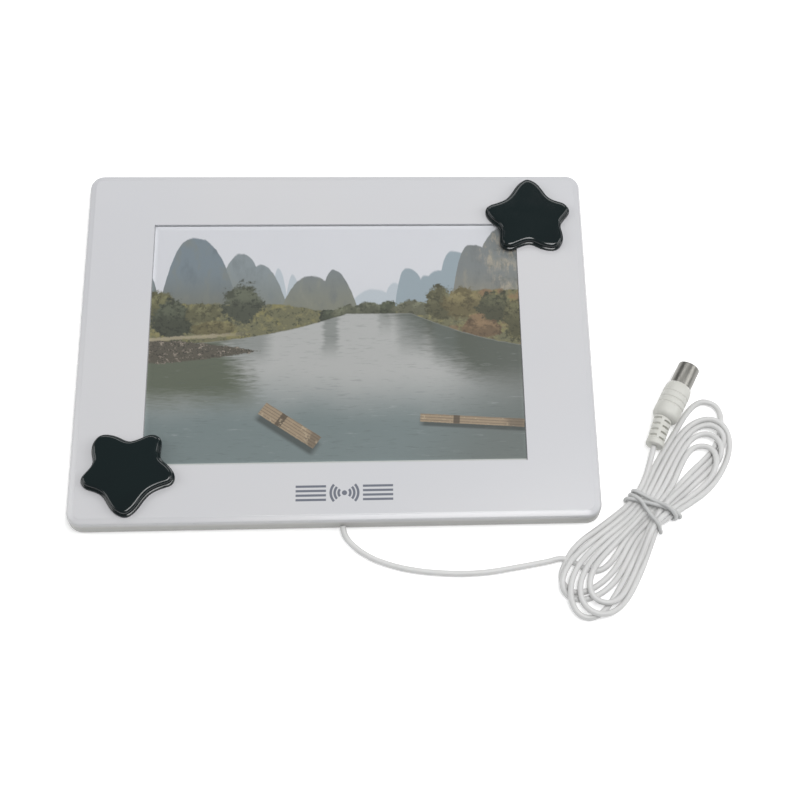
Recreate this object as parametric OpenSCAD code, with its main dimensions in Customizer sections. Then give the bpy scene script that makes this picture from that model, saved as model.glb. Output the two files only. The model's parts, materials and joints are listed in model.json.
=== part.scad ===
// Picture-frame indoor television aerial. It lies face up: +X right, +Y towards the picture's top,
// +Z out of the face, with the origin in the middle of the plate at the bottom of the rubber feet.
// Sizes in millimetres.

/* [Plate] */
// Width of the plate
plate_w = 245; // [240:1:256]
// Height of the plate
plate_h = 185; // [181:1:192]
// Front face above the table
face_z = 10; // [10:0.5:12]
// Corner radius seen from the front
corner_r = 7; // [6:0.5:9]
// Radius that rolls the front edge over
edge_r = 3; // [2:0.5:3]
// Side wall thickness
wall = 2; // [1.6:0.1:2.2]
// Rubber feet below the back
foot_h = 1; // [0.8:0.1:1.2]

/* [Picture] */
// Width of the print
print_w = 177.8; // [172:0.1:178]
// Height of the print
print_h = 127; // [120:0.5:127]
// Thickness of the clear cover
cover_t = 1.5; // [1:0.1:1.5]

/* [Stars] */
// Total height of a star above the face
star_h = 4; // [3.5:0.1:5]
// Magnet radius
magnet_r = 6; // [4:0.5:8]

/* [Stand] */
// Width of the fold-out leg
leg_w = 34; // [26:1:36]
// Thickness of the leg
leg_t = 2.4; // [2:0.1:2.4]

/* [Lead] */
// Outer diameter of the coaxial lead
cord_d = 2.8; // [2.4:0.1:3]
// Height of the tied hank
hank_h = 7; // [6:0.5:9]

/* [Plug] */
// Outer diameter of the plug's contact shell
shell_d = 10.6; // [10.4:0.05:10.7]
// Length of the shell that shows
shell_l = 11.8; // [11:0.1:12.4]
// Diameter of the moulded grip
grip_d = 13.2; // [12.8:0.1:13.4]

/* [Hidden] */
$fn = 64;

// Colours
shell_white = [0.86, 0.86, 0.87];
back_white = [0.80, 0.80, 0.81];
star_dark = [0.10, 0.14, 0.15];
steel = [0.66, 0.67, 0.68];
nickel = [0.58, 0.58, 0.55];
cord_white = [0.88, 0.88, 0.87];
grip_grey = [0.78, 0.78, 0.75];

// Plate and its inside
face_t = 1.8;
back_t = 1.6;
ceiling_z = face_z - face_t;
back_top = foot_h + back_t;
inner_w = plate_w - 2 * wall;
inner_h = plate_h - 2 * wall;
back_gap = 0.2;

// Picture pocket, a little left of the plate's middle
picture_at = [-0.45, -0.15];
print_t = 0.25;
pocket_sink = 0.05;
pocket_gap = 0.25;
pocket_floor = face_z - pocket_sink - cover_t - print_t;
tray_t = 1.5;
tray_bottom = pocket_floor - tray_t;
tray_rim = 1.5;

// Stars: angle in degrees and radius of the outline, point up, and how much wider than that they are
star_wide = 1.02;
star_keys = [[90, 24], [76, 22.2], [64, 19.2], [52, 17.2], [40, 17.8], [26, 21.3], [14, 21.7], [4, 18.4],
    [350, 16], [336, 18.4], [322, 20.8], [308, 21.2], [292, 17.3], [272, 13.1], [254, 15.1], [240, 19.3],
    [226, 20], [212, 16.5], [198, 14.6], [184, 17.6], [170, 21.1], [158, 21.6], [146, 18], [130, 16.2],
    [114, 17.8], [102, 21.2]];
star_top_at = [95, 64.6];
star_bottom_at = [-95.2, -65.4];
flange_t = 1.4;
rim_t = 0.6;
rim_inset = 0.9;
magnet_t = 2;

// Steel discs that the magnets pull on
keeper_r = 13;
keeper_t = 1.1;
keeper_lip = 1.2;

// Fastenings
screw_x = 112;
screw_y = 82;
boss_r = 3;
pilot_r = 1.05;
pilot_deep = 4.5;
screw_l = 5.4;
screw_play = 0.35;
screw_head_r = 2.6;
screw_head_t = 0.8;
sink_play = 0.2;
screw_lift = 0.1;
cross_size = [2.6, 0.5, 0.8];
foot_x = 100;
foot_y = 74;
foot_r = 5;
foot_in = 0.6;
foot_taper = [0.8, 0.2, 0.5];

// Keyhole slots for two wall screws
key_x = 70;
key_y = 64;
key_r = 4.5;
key_slot_r = 2.2;
key_slot_l = 8;

// Fold-out leg and its pocket in the back
hinge_y = 45;
hinge_z = foot_h + 1.6;
hinge_r = 0.8;
hinge_clear = 0.05;
knuckle_r = 1.6;
heel = 1.6;
leg_z = foot_h + 0.2;
leg_tip_y = -80.5;
leg_side_gap = 0.4;
pad_l = 6;
pad_w = 24;
well_w = leg_w + 2 * leg_side_gap;
well_top = foot_h + 3.4;
well_wall = 1.2;
well_y0 = leg_tip_y - 1.1;
well_y1 = hinge_y + 2.6;
ear_w = 1.4;
ear_l = 6;

// Aerial element and the board across its feed gap
loop_w = 160;
loop_h = 110;
loop_strip = 16;
loop_t = 0.4;
loop_z = tray_bottom - loop_t;
feed_x = 40;
feed_gap = 4;
peg_inset = 8;
peg_r = 1;
peg_head_r = 1.9;
peg_head_t = 0.6;
peg_play = 0.1;
board_w = 26;
board_h = 20;
board_t = 1;
board_y = -47;
board_z = loop_z - board_t;
core_size = [7, 6, 2.2];
core_y = -44;
core_bore_r = 0.6;
chip_size = [2, 1.25, 0.6];
chip_dx = 6;
chip_y = -52;

// Lead inside the plate and its clamp
exit_x = 2.3;
exit_z = foot_h + 1.4;
notch_r = cord_d / 2 + 0.05;
relief_at = [10, -85];
clamp_y = -73;
clamp_z = 5.4;
clamp_size = [18, 6, 2.4];
clamp_screw_dx = 5.5;
clamp_screw_r = 0.9;
clamp_head_r = 2.1;
clamp_head_t = 1.2;
clamp_pilot_deep = 2.4;
clamp_screw_in = 2.2;
clamp_play = 0.25;
core_r = 0.7;
bare_l = 6;
jacket_end = [feed_x, -59, 4.6];
inner_route = [[exit_x, -plate_h / 2, exit_z], [2.6, -90.4, 2.6], [5, -87.7, 3.5], [9.5, -86.5, 4.2],
    [16, -86.3, 4.6], [26, -86, 5], [34, -83.8, 5.2], [38.6, -79, 5.4], [feed_x, clamp_y, clamp_z],
    [feed_x, -66, 5.1], jacket_end];

// Hank: outline along its own axis, counted from the tie
hank_at = [143.5, -89];
hank_turn = 58.5;
hank_edge = [[67.5, -2], [65, 4], [56, 6], [42, 5.4], [30, 5.5], [16, 9], [4, 11], [-6, 11.5], [-16, 14],
    [-28, 21], [-38, 24.5], [-47, 22.5], [-55, 17.5], [-60, 9], [-61, 1], [-57, -5], [-48, -10],
    [-35, -13.5], [-20, -12.5], [-8, -11.5], [2, -11], [12, -13], [26, -18], [38, -21.5], [48, -21.5],
    [58, -18], [64, -10]];
tie_from = -1;
tie_w = 6;
tie_half = 11.2;
tie_t = 1.8;
tie_h = hank_h + 0.2;

// Plug: its grip starts at plug_at, its strain relief at boot_end, the two a little bent
plug_at = [155.3, -43.3, grip_d / 2];
plug_turn = 61.6;
boot_end = [149.6, -56.7, grip_d / 2];
boot_turn = 68.5;
boot_l = 14.4;
boot_lap = 1.5;
boot_r0 = 4.1;
boot_r1 = 4.45;
collar_l = 3;
collar_r = 4.4;
collar_round = 0.8;
slot_rows = 4;
slot_first = 3.6;
slot_shift = 0.9;
slot_pitch = 3.05;
slot_w = 0.85;
slot_l = 5;
slot_deep = 1.3;
grip_l = 19.7;
grip_r = grip_d / 2;
grip_round = 3.2;
shoulder_l = 4;
shoulder_lip = 0.1;
shell_r = shell_d / 2;
shell_in = 4;
shell_step = 0.25;
shell_wall = 0.55;
insulator_l = 4.5;
pin_r = 1.175;
pin_short = 0.6;

// Free lead from the notch to the hank, and from the tie to the plug
lead_route = [[exit_x, -plate_h / 2, exit_z], [2.7, -95, 2], [4, -98, 1.5], [8.5, -103, 1.4],
    [13, -106.3, 1.4], [18, -109, 1.4], [27, -112.2, 1.4], [36, -114.2, 1.4], [45, -115.4, 1.4],
    [54, -116, 1.4], [63, -116, 1.4], [72, -115.2, 1.4], [81, -113.8, 1.4], [90, -112.3, 1.4],
    [97, -111, 1.4], [102.5, -109.8, 1.4]];
tail_route = [[141, -80.1, 4.2], [142.5, -77, 4.2], [143.9, -73.6, 4.3], [145.3, -69.9, 4.8],
    [146.7, -65.8, 5.5], [148.1, -61.4, 6.3], boot_end];

// ---- functions ----

// Point on a Catmull-Rom curve between b and c
function spline(a, b, c, d, t) =
    0.5 * (2 * b + (c - a) * t + (2 * a - 5 * b + 4 * c - d) * t * t + (3 * b - a - 3 * c + d) * t * t * t);

// Smooth closed outline through points, with n steps between neighbours
function closed_curve(p, n) = let (m = len(p))
    [for (i = [0 : m - 1], k = [0 : n - 1])
        spline(p[(i + m - 1) % m], p[i], p[(i + 1) % m], p[(i + 2) % m], k / n)];

// Smooth open path through points, with n steps between neighbours
function open_curve(p, n) = let (m = len(p))
    [for (i = [0 : m - 2], k = [0 : n - 1])
        spline(p[max(i - 1, 0)], p[i], p[i + 1], p[min(i + 2, m - 1)], k / n), p[m - 1]];

function unit(v) = v / norm(v);
function heading(p, i) = unit(p[min(i + 1, len(p) - 1)] - p[max(i - 1, 0)]);

// One ring of a tube: eight-sided, square to the path, with its first side level
function ring(at, dir, r, sides) = let (side = unit(cross([0, 0, 1], dir)), up = cross(dir, side))
    [for (k = [0 : sides - 1]) let (a = 360 * k / sides) at + r * (cos(a) * side + sin(a) * up)];

// ---- shared shapes ----

module tube(path, r, sides = 8) {
    rings = len(path);
    points = [for (i = [0 : rings - 1]) each ring(path[i], heading(path, i), r, sides)];
    walls = [for (i = [0 : rings - 2], k = [0 : sides - 1])
        let (a = i * sides + k, b = i * sides + (k + 1) % sides) [a, a + sides, b + sides, b]];
    ends = [[for (k = [0 : sides - 1]) k],
        [for (k = [sides - 1 : -1 : 0]) (rings - 1) * sides + k]];
    polyhedron(points, concat(walls, ends));
}

// Flat outline with round corners
module round_rect(w, h, r) {
    square([w - 2 * r, h], center = true);
    square([w, h - 2 * r], center = true);
    for (x = [-1, 1], y = [-1, 1]) translate([x * (w / 2 - r), y * (h / 2 - r)]) circle(r);
}

// Half of a section whose upper outer corner is rolled over: width w, height h
module rolled_half(w, h, e) {
    square([w - e, h]);
    square([w, h - e]);
    translate([w - e, h - e]) circle(e);
}

// Plate with round corners and a rolled front edge
module rolled_plate(w, h, t, r, e) {
    for (x = [-1, 1], y = [-1, 1]) translate([x * (w / 2 - r), y * (h / 2 - r), 0])
        rotate_extrude() rolled_half(r, t, e);
    for (side = [0, 180]) rotate([0, 0, side]) {
        rotate([90, 0, 0]) linear_extrude(h - 2 * r, center = true) rolled_half(w / 2, t, e);
        rotate([90, 0, 90]) linear_extrude(w - 2 * r, center = true) rolled_half(h / 2, t, e);
    }
}

module at_case_screws() {
    for (x = [-1, 1], y = [-1, 0, 1]) translate([x * screw_x, y * screw_y, 0]) children();
}
module at_feet() { for (x = [-1, 1], y = [-1, 1]) translate([x * foot_x, y * foot_y, 0]) children(); }
module at_keepers() { for (p = [star_top_at, star_bottom_at]) translate(p) children(); }
module at_clamp_screws() {
    for (x = [-1, 1]) translate([feed_x + x * clamp_screw_dx, clamp_y, 0]) children();
}
module at_pegs() {
    for (x = [-1, 1], y = [-1, 1])
        translate([x * (loop_w / 2 - peg_inset), y * (loop_h / 2 - peg_inset), 0]) children();
}
module along_x(r, l) { rotate([0, 90, 0]) cylinder(r = r, h = l, center = true); }
module along_y(r, l) { rotate([90, 0, 0]) cylinder(r = r, h = l, center = true); }
module box(lo, hi) { translate(lo) cube(hi - lo); }

// ---- plate ----

module picture_box(gap, z0, z1) {
    translate(picture_at)
        box([-print_w / 2 - gap, -print_h / 2 - gap, z0], [print_w / 2 + gap, print_h / 2 + gap, z1]);
}

module clamp_groove() { translate([feed_x, clamp_y, clamp_z]) along_y(cord_d / 2, clamp_size[1] + 2); }

module front_shell() {
    color(shell_white) difference() {
        union() {
            difference() {
                translate([0, 0, foot_h]) rolled_plate(plate_w, plate_h, face_z - foot_h, corner_r, edge_r);
                translate([0, 0, foot_h - 1]) linear_extrude(ceiling_z - foot_h + 1)
                    round_rect(inner_w, inner_h, corner_r - wall);
            }
            picture_box(pocket_gap + tray_rim, tray_bottom, ceiling_z + 0.1);
            at_keepers() translate([0, 0, tray_bottom - keeper_t])
                cylinder(r = keeper_r + keeper_lip, h = ceiling_z + 0.1 - tray_bottom + keeper_t);
            at_case_screws() translate([0, 0, back_top])
                cylinder(r = boss_r, h = ceiling_z + 0.1 - back_top);
            at_pegs() {
                translate([0, 0, loop_z - 0.1]) cylinder(r = peg_r, h = loop_t + 0.2);
                translate([0, 0, loop_z - peg_head_t]) cylinder(r = peg_head_r, h = peg_head_t);
            }
            box([feed_x - clamp_size[0] / 2, clamp_y - clamp_size[1] / 2, clamp_z],
                [feed_x + clamp_size[0] / 2, clamp_y + clamp_size[1] / 2, ceiling_z + 0.1]);
        }
        picture_box(pocket_gap, pocket_floor, face_z + 1);
        at_keepers() translate([0, 0, tray_bottom - keeper_t - 1]) cylinder(r = keeper_r, h = keeper_t + 1);
        at_case_screws() translate([0, 0, back_top - 1]) cylinder(r = pilot_r, h = pilot_deep + 1);
        at_clamp_screws() translate([0, 0, clamp_z - 1])
            cylinder(r = clamp_screw_r, h = clamp_pilot_deep + 1);
        clamp_groove();
        translate([exit_x, -plate_h / 2, exit_z]) along_y(notch_r, 3 * wall);
        box([exit_x - notch_r, -plate_h / 2 - wall, 0], [exit_x + notch_r, wall * 1.5 - plate_h / 2, exit_z]);
    }
}

module keyhole() {
    translate([0, 0, foot_h - 1]) {
        cylinder(r = key_r, h = back_t + 2);
        translate([0, key_slot_l, 0]) cylinder(r = key_slot_r, h = back_t + 2);
        translate([-key_slot_r, 0, 0]) cube([2 * key_slot_r, key_slot_l, back_t + 2]);
    }
}

module rear_cover() {
    half = well_w / 2 + well_wall;
    color(back_white) difference() {
        union() {
            translate([0, 0, foot_h]) linear_extrude(back_t)
                round_rect(inner_w - 2 * back_gap, inner_h - 2 * back_gap, corner_r - wall - back_gap);
            box([-half, well_y0 - well_wall, foot_h], [half, well_y1 + well_wall, well_top + 1]);
            box([-half - ear_w, hinge_y - ear_l / 2, foot_h],
                [half + ear_w, hinge_y + ear_l / 2, well_top + 1]);
        }
        box([-well_w / 2, well_y0, foot_h - 1], [well_w / 2, well_y1, well_top]);
        translate([0, hinge_y, hinge_z]) along_x(hinge_r, 2 * (half + ear_w) - 1);
        at_case_screws() translate([0, 0, foot_h - 1]) {
            cylinder(r = pilot_r + screw_play, h = back_t + 2);
            cylinder(r = screw_head_r + sink_play, h = screw_head_t + screw_lift + 1);
        }
        at_feet() translate([0, 0, foot_h - 1]) cylinder(r = foot_r, h = foot_in + 1);
        for (x = [-1, 1]) translate([x * key_x, key_y, 0]) keyhole();
        box([exit_x - notch_r, -plate_h / 2, foot_h - 1], [relief_at[0], relief_at[1], back_top + 1]);
    }
}

module case_screws() {
    color(steel) at_case_screws() translate([0, 0, foot_h + screw_lift]) difference() {
        union() {
            cylinder(r = screw_head_r, h = screw_head_t);
            cylinder(r = pilot_r, h = screw_l);
        }
        for (turn = [0, 90]) rotate([0, 0, turn]) cube(cross_size, center = true);
    }
}

module rubber_feet() {
    color([0.2, 0.2, 0.2]) at_feet() rotate_extrude()
        polygon([[0, 0], [foot_r - foot_taper[0], 0], [foot_r - foot_taper[1], foot_taper[2]],
            [foot_r, foot_h], [foot_r, foot_h + foot_in], [0, foot_h + foot_in]]);
}

// ---- picture ----

module photo_print() { color([0.55, 0.60, 0.60]) picture_box(0, pocket_floor, pocket_floor + print_t); }

module clear_cover() {
    color([0.9, 0.95, 0.97, 0.4]) picture_box(0, pocket_floor + print_t, pocket_floor + print_t + cover_t);
}

// ---- stars ----

module star_layer(inset, z0, z1) {
    outline = closed_curve([for (k = star_keys) (k[1] - inset) * [star_wide * cos(k[0]), sin(k[0])]], 4);
    translate([0, 0, z0]) linear_extrude(z1 - z0) polygon(outline);
}

module star() {
    color(star_dark) difference() {
        union() {
            star_layer(0, face_z, face_z + flange_t);
            star_layer(rim_inset, face_z, face_z + star_h - rim_t);
            star_layer(2 * rim_inset, face_z, face_z + star_h);
        }
        translate([0, 0, face_z - 1]) cylinder(r = magnet_r, h = magnet_t + 1);
    }
}

module magnet() { color(nickel) translate([0, 0, face_z]) cylinder(r = magnet_r, h = magnet_t); }

module star_top() { translate(star_top_at) star(); }
module star_top_magnet() { translate(star_top_at) magnet(); }
module star_bottom() { translate(star_bottom_at) rotate([0, 0, 180]) star(); }
module star_bottom_magnet() { translate(star_bottom_at) magnet(); }

module keeper_discs() {
    color(steel) at_keepers() translate([0, 0, tray_bottom - keeper_t]) cylinder(r = keeper_r, h = keeper_t);
}

// ---- aerial ----

module antenna_loop() {
    color(steel) translate([0, 0, loop_z]) difference() {
        linear_extrude(loop_t) difference() {
            square([loop_w, loop_h], center = true);
            square([loop_w - 2 * loop_strip, loop_h - 2 * loop_strip], center = true);
            translate([feed_x, -loop_h / 2]) square([feed_gap, 2 * loop_strip + 2], center = true);
        }
        at_pegs() translate([0, 0, -1]) cylinder(r = peg_r + peg_play, h = loop_t + 2);
    }
}

module balun_board() {
    color([0.15, 0.4, 0.2]) translate([feed_x - board_w / 2, board_y - board_h / 2, board_z])
        cube([board_w, board_h, board_t]);
}

module balun_core() {
    color([0.25, 0.25, 0.26]) translate([feed_x, core_y, board_z - core_size[2] / 2]) difference() {
        cube(core_size, center = true);
        for (x = [-1, 1]) translate([x * core_size[0] / 4, 0, 0]) along_y(core_bore_r, core_size[1] + 2);
    }
}

module chip_parts() {
    color([0.6, 0.5, 0.4]) for (x = [-1, 1])
        translate([feed_x + x * chip_dx, chip_y, board_z - chip_size[2] / 2]) cube(chip_size, center = true);
}

module coax_inner() { color(cord_white) tube(open_curve(inner_route, 2), cord_d / 2); }

module coax_core() {
    color([0.8, 0.6, 0.3]) translate(jacket_end) rotate([-90, 0, 0]) cylinder(r = core_r, h = bare_l);
}

module cable_clamp() {
    color(back_white) difference() {
        box([feed_x - clamp_size[0] / 2, clamp_y - clamp_size[1] / 2, clamp_z - clamp_size[2]],
            [feed_x + clamp_size[0] / 2, clamp_y + clamp_size[1] / 2, clamp_z]);
        clamp_groove();
        at_clamp_screws() translate([0, 0, clamp_z - clamp_size[2]]) {
            translate([0, 0, -1]) cylinder(r = clamp_screw_r + clamp_play, h = clamp_size[2] + 2);
            cylinder(r1 = clamp_head_r + 0.1, r2 = clamp_screw_r, h = clamp_head_t + 0.1);
        }
    }
}

module clamp_screws() {
    color(steel) at_clamp_screws() translate([0, 0, clamp_z - clamp_size[2]]) {
        cylinder(r1 = clamp_head_r, r2 = clamp_screw_r - 0.1, h = clamp_head_t);
        cylinder(r = clamp_screw_r, h = clamp_size[2] + clamp_screw_in);
    }
}

// ---- fold-out leg ----

module stand_leg() {
    color(back_white) difference() {
        union() {
            box([-leg_w / 2, leg_tip_y + pad_l, leg_z], [leg_w / 2, hinge_y + heel, leg_z + leg_t]);
            box([-leg_w / 2, leg_tip_y, leg_z], [-pad_w / 2, leg_tip_y + pad_l + 1, leg_z + leg_t]);
            box([pad_w / 2, leg_tip_y, leg_z], [leg_w / 2, leg_tip_y + pad_l + 1, leg_z + leg_t]);
            translate([0, hinge_y, hinge_z]) along_x(knuckle_r, leg_w);
        }
        translate([0, hinge_y, hinge_z]) along_x(hinge_r + hinge_clear, leg_w + 2);
    }
}

module leg_pad() {
    color([0.2, 0.2, 0.2])
        box([-pad_w / 2, leg_tip_y, leg_z], [pad_w / 2, leg_tip_y + pad_l, leg_z + leg_t]);
}

module hinge_pin() {
    color(steel) translate([0, hinge_y, hinge_z]) along_x(hinge_r, well_w + 2 * (well_wall + ear_w) - 1);
}

// ---- free lead ----

module cord_lead() { color(cord_white) tube(open_curve(lead_route, 2), cord_d / 2); }
module cord_tail() { color(cord_white) tube(open_curve(tail_route, 2), cord_d / 2); }

module along_hank() { translate(hank_at) rotate([0, 0, hank_turn]) children(); }

// Section of the tie's band, standing across the hank: half width w, from z0 to z1
module band_block(w, z0, z1, over) {
    box([tie_from - over, -w, z0], [tie_from + tie_w + over, w, z1]);
}

module cord_hank() {
    color(cord_white) along_hank() difference() {
        linear_extrude(hank_h) polygon(closed_curve(hank_edge, 4));
        difference() {
            band_block(4 * tie_half, -1, 2 * hank_h, 0);
            band_block(tie_half - tie_t, tie_t, tie_h - tie_t, 1);
        }
    }
}

module twist_tie() {
    color([0.75, 0.75, 0.75]) along_hank() difference() {
        band_block(tie_half, 0, tie_h, 0);
        band_block(tie_half - tie_t, tie_t, tie_h - tie_t, 1);
    }
}

// ---- plug ----

module along_plug() { translate(plug_at) rotate([0, 90, plug_turn]) children(); }
module along_boot() { translate(boot_end) rotate([0, 90, boot_turn]) children(); }

// Strain relief with a round collar and staggered slots in four rows; it ends flat against the grip
module plug_boot() {
    color(grip_grey) difference() {
        along_boot() difference() {
            rotate_extrude() polygon([[0, 0], [collar_r - collar_round, 0], [collar_r, collar_round],
                [collar_r, collar_l - collar_round], [boot_r0, collar_l], [boot_r1, boot_l],
                [boot_r1, boot_l + boot_lap], [0, boot_l + boot_lap]]);
            for (side = [0 : 3], row = [0 : slot_rows - 1])
                rotate([0, 0, 45 + 90 * side])
                    translate([boot_r1, 0, slot_first + slot_pitch * row + slot_shift * (side % 2)])
                        cube([2 * slot_deep, slot_l, slot_w], center = true);
        }
        along_plug() cylinder(r = grip_r, h = 2 * boot_lap);
    }
}

// Moulded grip: round end at the strain relief, soft shoulder at the shell
module plug_grip() {
    lip_r = shell_r + shoulder_lip;
    shoulder = [for (a = [0 : 15 : 90])
        [lip_r + (grip_r - lip_r) * sin(a), grip_l - shoulder_l * (1 - cos(a))]];
    low_end = [for (a = [0 : 15 : 90]) [grip_r - grip_round * (1 - cos(a)), grip_round * (1 - sin(a))]];
    color(grip_grey) along_plug() difference() {
        rotate_extrude() polygon(concat([[0, grip_l]], shoulder, low_end, [[0, 0]]));
        translate([0, 0, grip_l - shell_in]) cylinder(r = shell_r - shell_step, h = shell_in + 1);
    }
}

// Outer contact: its tail is stepped down inside the grip
module plug_shell() {
    color(nickel) along_plug() translate([0, 0, grip_l - shell_in]) difference() {
        union() {
            cylinder(r = shell_r - shell_step, h = shell_in + 1);
            translate([0, 0, shell_in]) cylinder(r = shell_r, h = shell_l);
        }
        translate([0, 0, -1]) cylinder(r = shell_r - shell_wall, h = shell_in + shell_l + 2);
    }
}

module plug_insulator() {
    color([0.92, 0.92, 0.9]) along_plug() translate([0, 0, grip_l - shell_in]) difference() {
        cylinder(r = shell_r - shell_wall, h = insulator_l);
        translate([0, 0, -1]) cylinder(r = pin_r, h = insulator_l + 2);
    }
}

module plug_pin() {
    pin_l = shell_in + shell_l - pin_short;
    color(nickel) along_plug() translate([0, 0, grip_l - shell_in]) {
        cylinder(r = pin_r, h = pin_l - pin_r);
        translate([0, 0, pin_l - pin_r]) sphere(pin_r);
    }
}

front_shell();
rear_cover();
case_screws();
rubber_feet();
photo_print();
clear_cover();
star_top();
star_top_magnet();
star_bottom();
star_bottom_magnet();
keeper_discs();
antenna_loop();
balun_board();
balun_core();
chip_parts();
coax_inner();
coax_core();
cable_clamp();
clamp_screws();
stand_leg();
leg_pad();
hinge_pin();
cord_lead();
cord_hank();
cord_tail();
twist_tie();
plug_boot();
plug_grip();
plug_shell();
plug_insulator();
plug_pin();
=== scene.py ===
import json
import math

import bmesh
import bpy
import numpy as np
from mathutils import Matrix, Vector


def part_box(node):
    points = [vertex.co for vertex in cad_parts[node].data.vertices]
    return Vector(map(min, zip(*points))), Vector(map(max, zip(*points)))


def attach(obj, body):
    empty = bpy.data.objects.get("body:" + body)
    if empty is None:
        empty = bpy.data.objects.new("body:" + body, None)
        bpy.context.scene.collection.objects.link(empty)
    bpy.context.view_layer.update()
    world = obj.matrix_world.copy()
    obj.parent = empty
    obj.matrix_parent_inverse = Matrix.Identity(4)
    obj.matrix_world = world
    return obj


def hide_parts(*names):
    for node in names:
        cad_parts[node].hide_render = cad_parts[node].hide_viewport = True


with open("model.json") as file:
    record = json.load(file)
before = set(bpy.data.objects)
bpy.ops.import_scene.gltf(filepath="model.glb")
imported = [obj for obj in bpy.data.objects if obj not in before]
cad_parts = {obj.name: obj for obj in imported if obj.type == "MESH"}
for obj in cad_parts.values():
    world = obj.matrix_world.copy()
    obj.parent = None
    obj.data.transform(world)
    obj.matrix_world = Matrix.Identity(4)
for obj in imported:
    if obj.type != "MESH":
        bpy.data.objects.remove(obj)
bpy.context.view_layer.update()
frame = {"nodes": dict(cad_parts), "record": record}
nodes = frame["nodes"]
scene = bpy.context.scene
MM = 0.001


def middle(node):
    """The middle of a CAD node's box, in millimetres to a hundredth."""
    low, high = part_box(node)
    return [round((a + b) / 2 / MM, 2) for a, b in zip(low, high)]


def halves(node):
    """Half of a CAD node's width and half of its depth, in millimetres to a hundredth."""
    low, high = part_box(node)
    return [round((b - a) / 2 / MM, 2) for a, b in zip(low[:2], high[:2])]


# ---------------------------------------------------------------- camera

def make_camera():
    """High in front of the plate, looking down at it, with the view shifted to the left."""
    data = bpy.data.cameras.new("view_camera")
    data.sensor_width = 36
    data.lens = 68.482
    data.shift_x = -0.13243
    data.shift_y = 0.01
    data.clip_start = 0.01
    camera = bpy.data.objects.new("view_camera", data)
    camera.location = (0.022915, -0.325696, 0.670511)
    camera.rotation_euler = [math.radians(angle) for angle in (23.699, -3.825, -2.477)]
    scene.collection.objects.link(camera)
    scene.camera = camera


make_camera()


# ---------------------------------------------------------------- cord

CORD_D = 2.8
FLOOR_Z = CORD_D / 2                # height of a cord's middle that lies on the floor
HANK_AT = np.array([143.5, -89.0])
HANK_TURN = math.radians(58.5)      # the hank's length, from +X
ALONG = np.array([math.cos(HANK_TURN), math.sin(HANK_TURN)])
ACROSS = np.array([-math.sin(HANK_TURN), math.cos(HANK_TURN)])
HANK_HALF = 14      # more than half of the hank's width where it is tied
LEVEL = 2.2         # how far each turn starts above the one below it
TIGHTEST = 7.8      # the bend radius that the folds open towards
TIE_U = 3.0         # where the tie crosses the hank, along its length
TIE_UNDER = 2.0     # how far the tie's wire lifts the strands that lie on it
SQUEEZE = 0.16      # how much closer the tie presses the strands
SINK = 0.05         # how far the strands sink in one round of settling, by their weight
HOLD = 0.05         # how strongly they are held where they were laid

# The free stretches, from the notch to the hank and from the tie to the plug
LEAD = [
    (2.3, -92.5, 2.4), (2.7, -95, 2), (4, -98, 1.5), (8.5, -103, 1.4), (13, -106.3, 1.4),
    (18, -109, 1.4), (27, -112.2, 1.4), (36, -114.2, 1.4), (45, -115.4, 1.4), (54, -116, 1.4),
    (63, -116, 1.4), (72, -115.2, 1.4), (81, -113.8, 1.4), (90, -112.3, 1.4), (97, -111, 1.4),
    (102.5, -109.8, 1.4)]
TAIL = [
    (141, -80.1, 4.2), (142.5, -77, 4.2), (143.9, -73.6, 4.3), (145.3, -69.9, 4.8),
    (146.7, -65.8, 5.5), (148.1, -61.4, 6.3), (149.6, -56.7, 6.6)]
# The hank's strands from above, (along, across) its length from the middle
LEAD_IN = [(-37, 18.5), (-39.5, 13), (-38.5, 8), (-34, 4.5), (-26, 2.8), (-16, 2), (-6, 0),
           (4, -2.5), (13, -4.5)]
UPPER = [
    [(20, -5.3), (28, -3.4), (35, -3.1), (42, -5), (45.6, -8), (45.6, -12), (42, -17), (36, -19),
     (29, -19), (21, -16), (12, -12), (4, -9)],
    [(14, -1.6), (27, -1.4), (41, -1.2), (48.5, -3.4), (52, -8), (51, -13), (46.6, -17), (41, -18),
     (34, -16), (28, -14), (17, -11), (6, -7)],
    [(12, 1.2), (25, 1.5), (43, 0.8), (51, -1), (55, -5), (56, -10), (52, -16), (46, -18),
     (40, -15), (30, -11), (17, -8), (5, -5)],
    [(10, 4), (22, 4.2), (33, 3.8), (42, 3.2), (50.5, 1.6), (57, -2.5), (59, -7.5), (57.4, -13.5),
     (52.5, -19), (46, -21.2), (38, -21.5), (28, -21), (18, -17), (11, -12.5), (4, -10)],
    [(10, 5.6), (21, 7), (31, 6.8), (40, 6.4), (48.5, 6), (55, 5.7), (61, 4.7), (65.2, 2.8),
     (67.4, 0), (67.6, -3), (65.6, -6.5), (61.8, -9), (56, -11.5), (47, -14.6), (42, -13.2), (32, -11),
     (21, -8.8), (13, -7.4)]]
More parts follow.
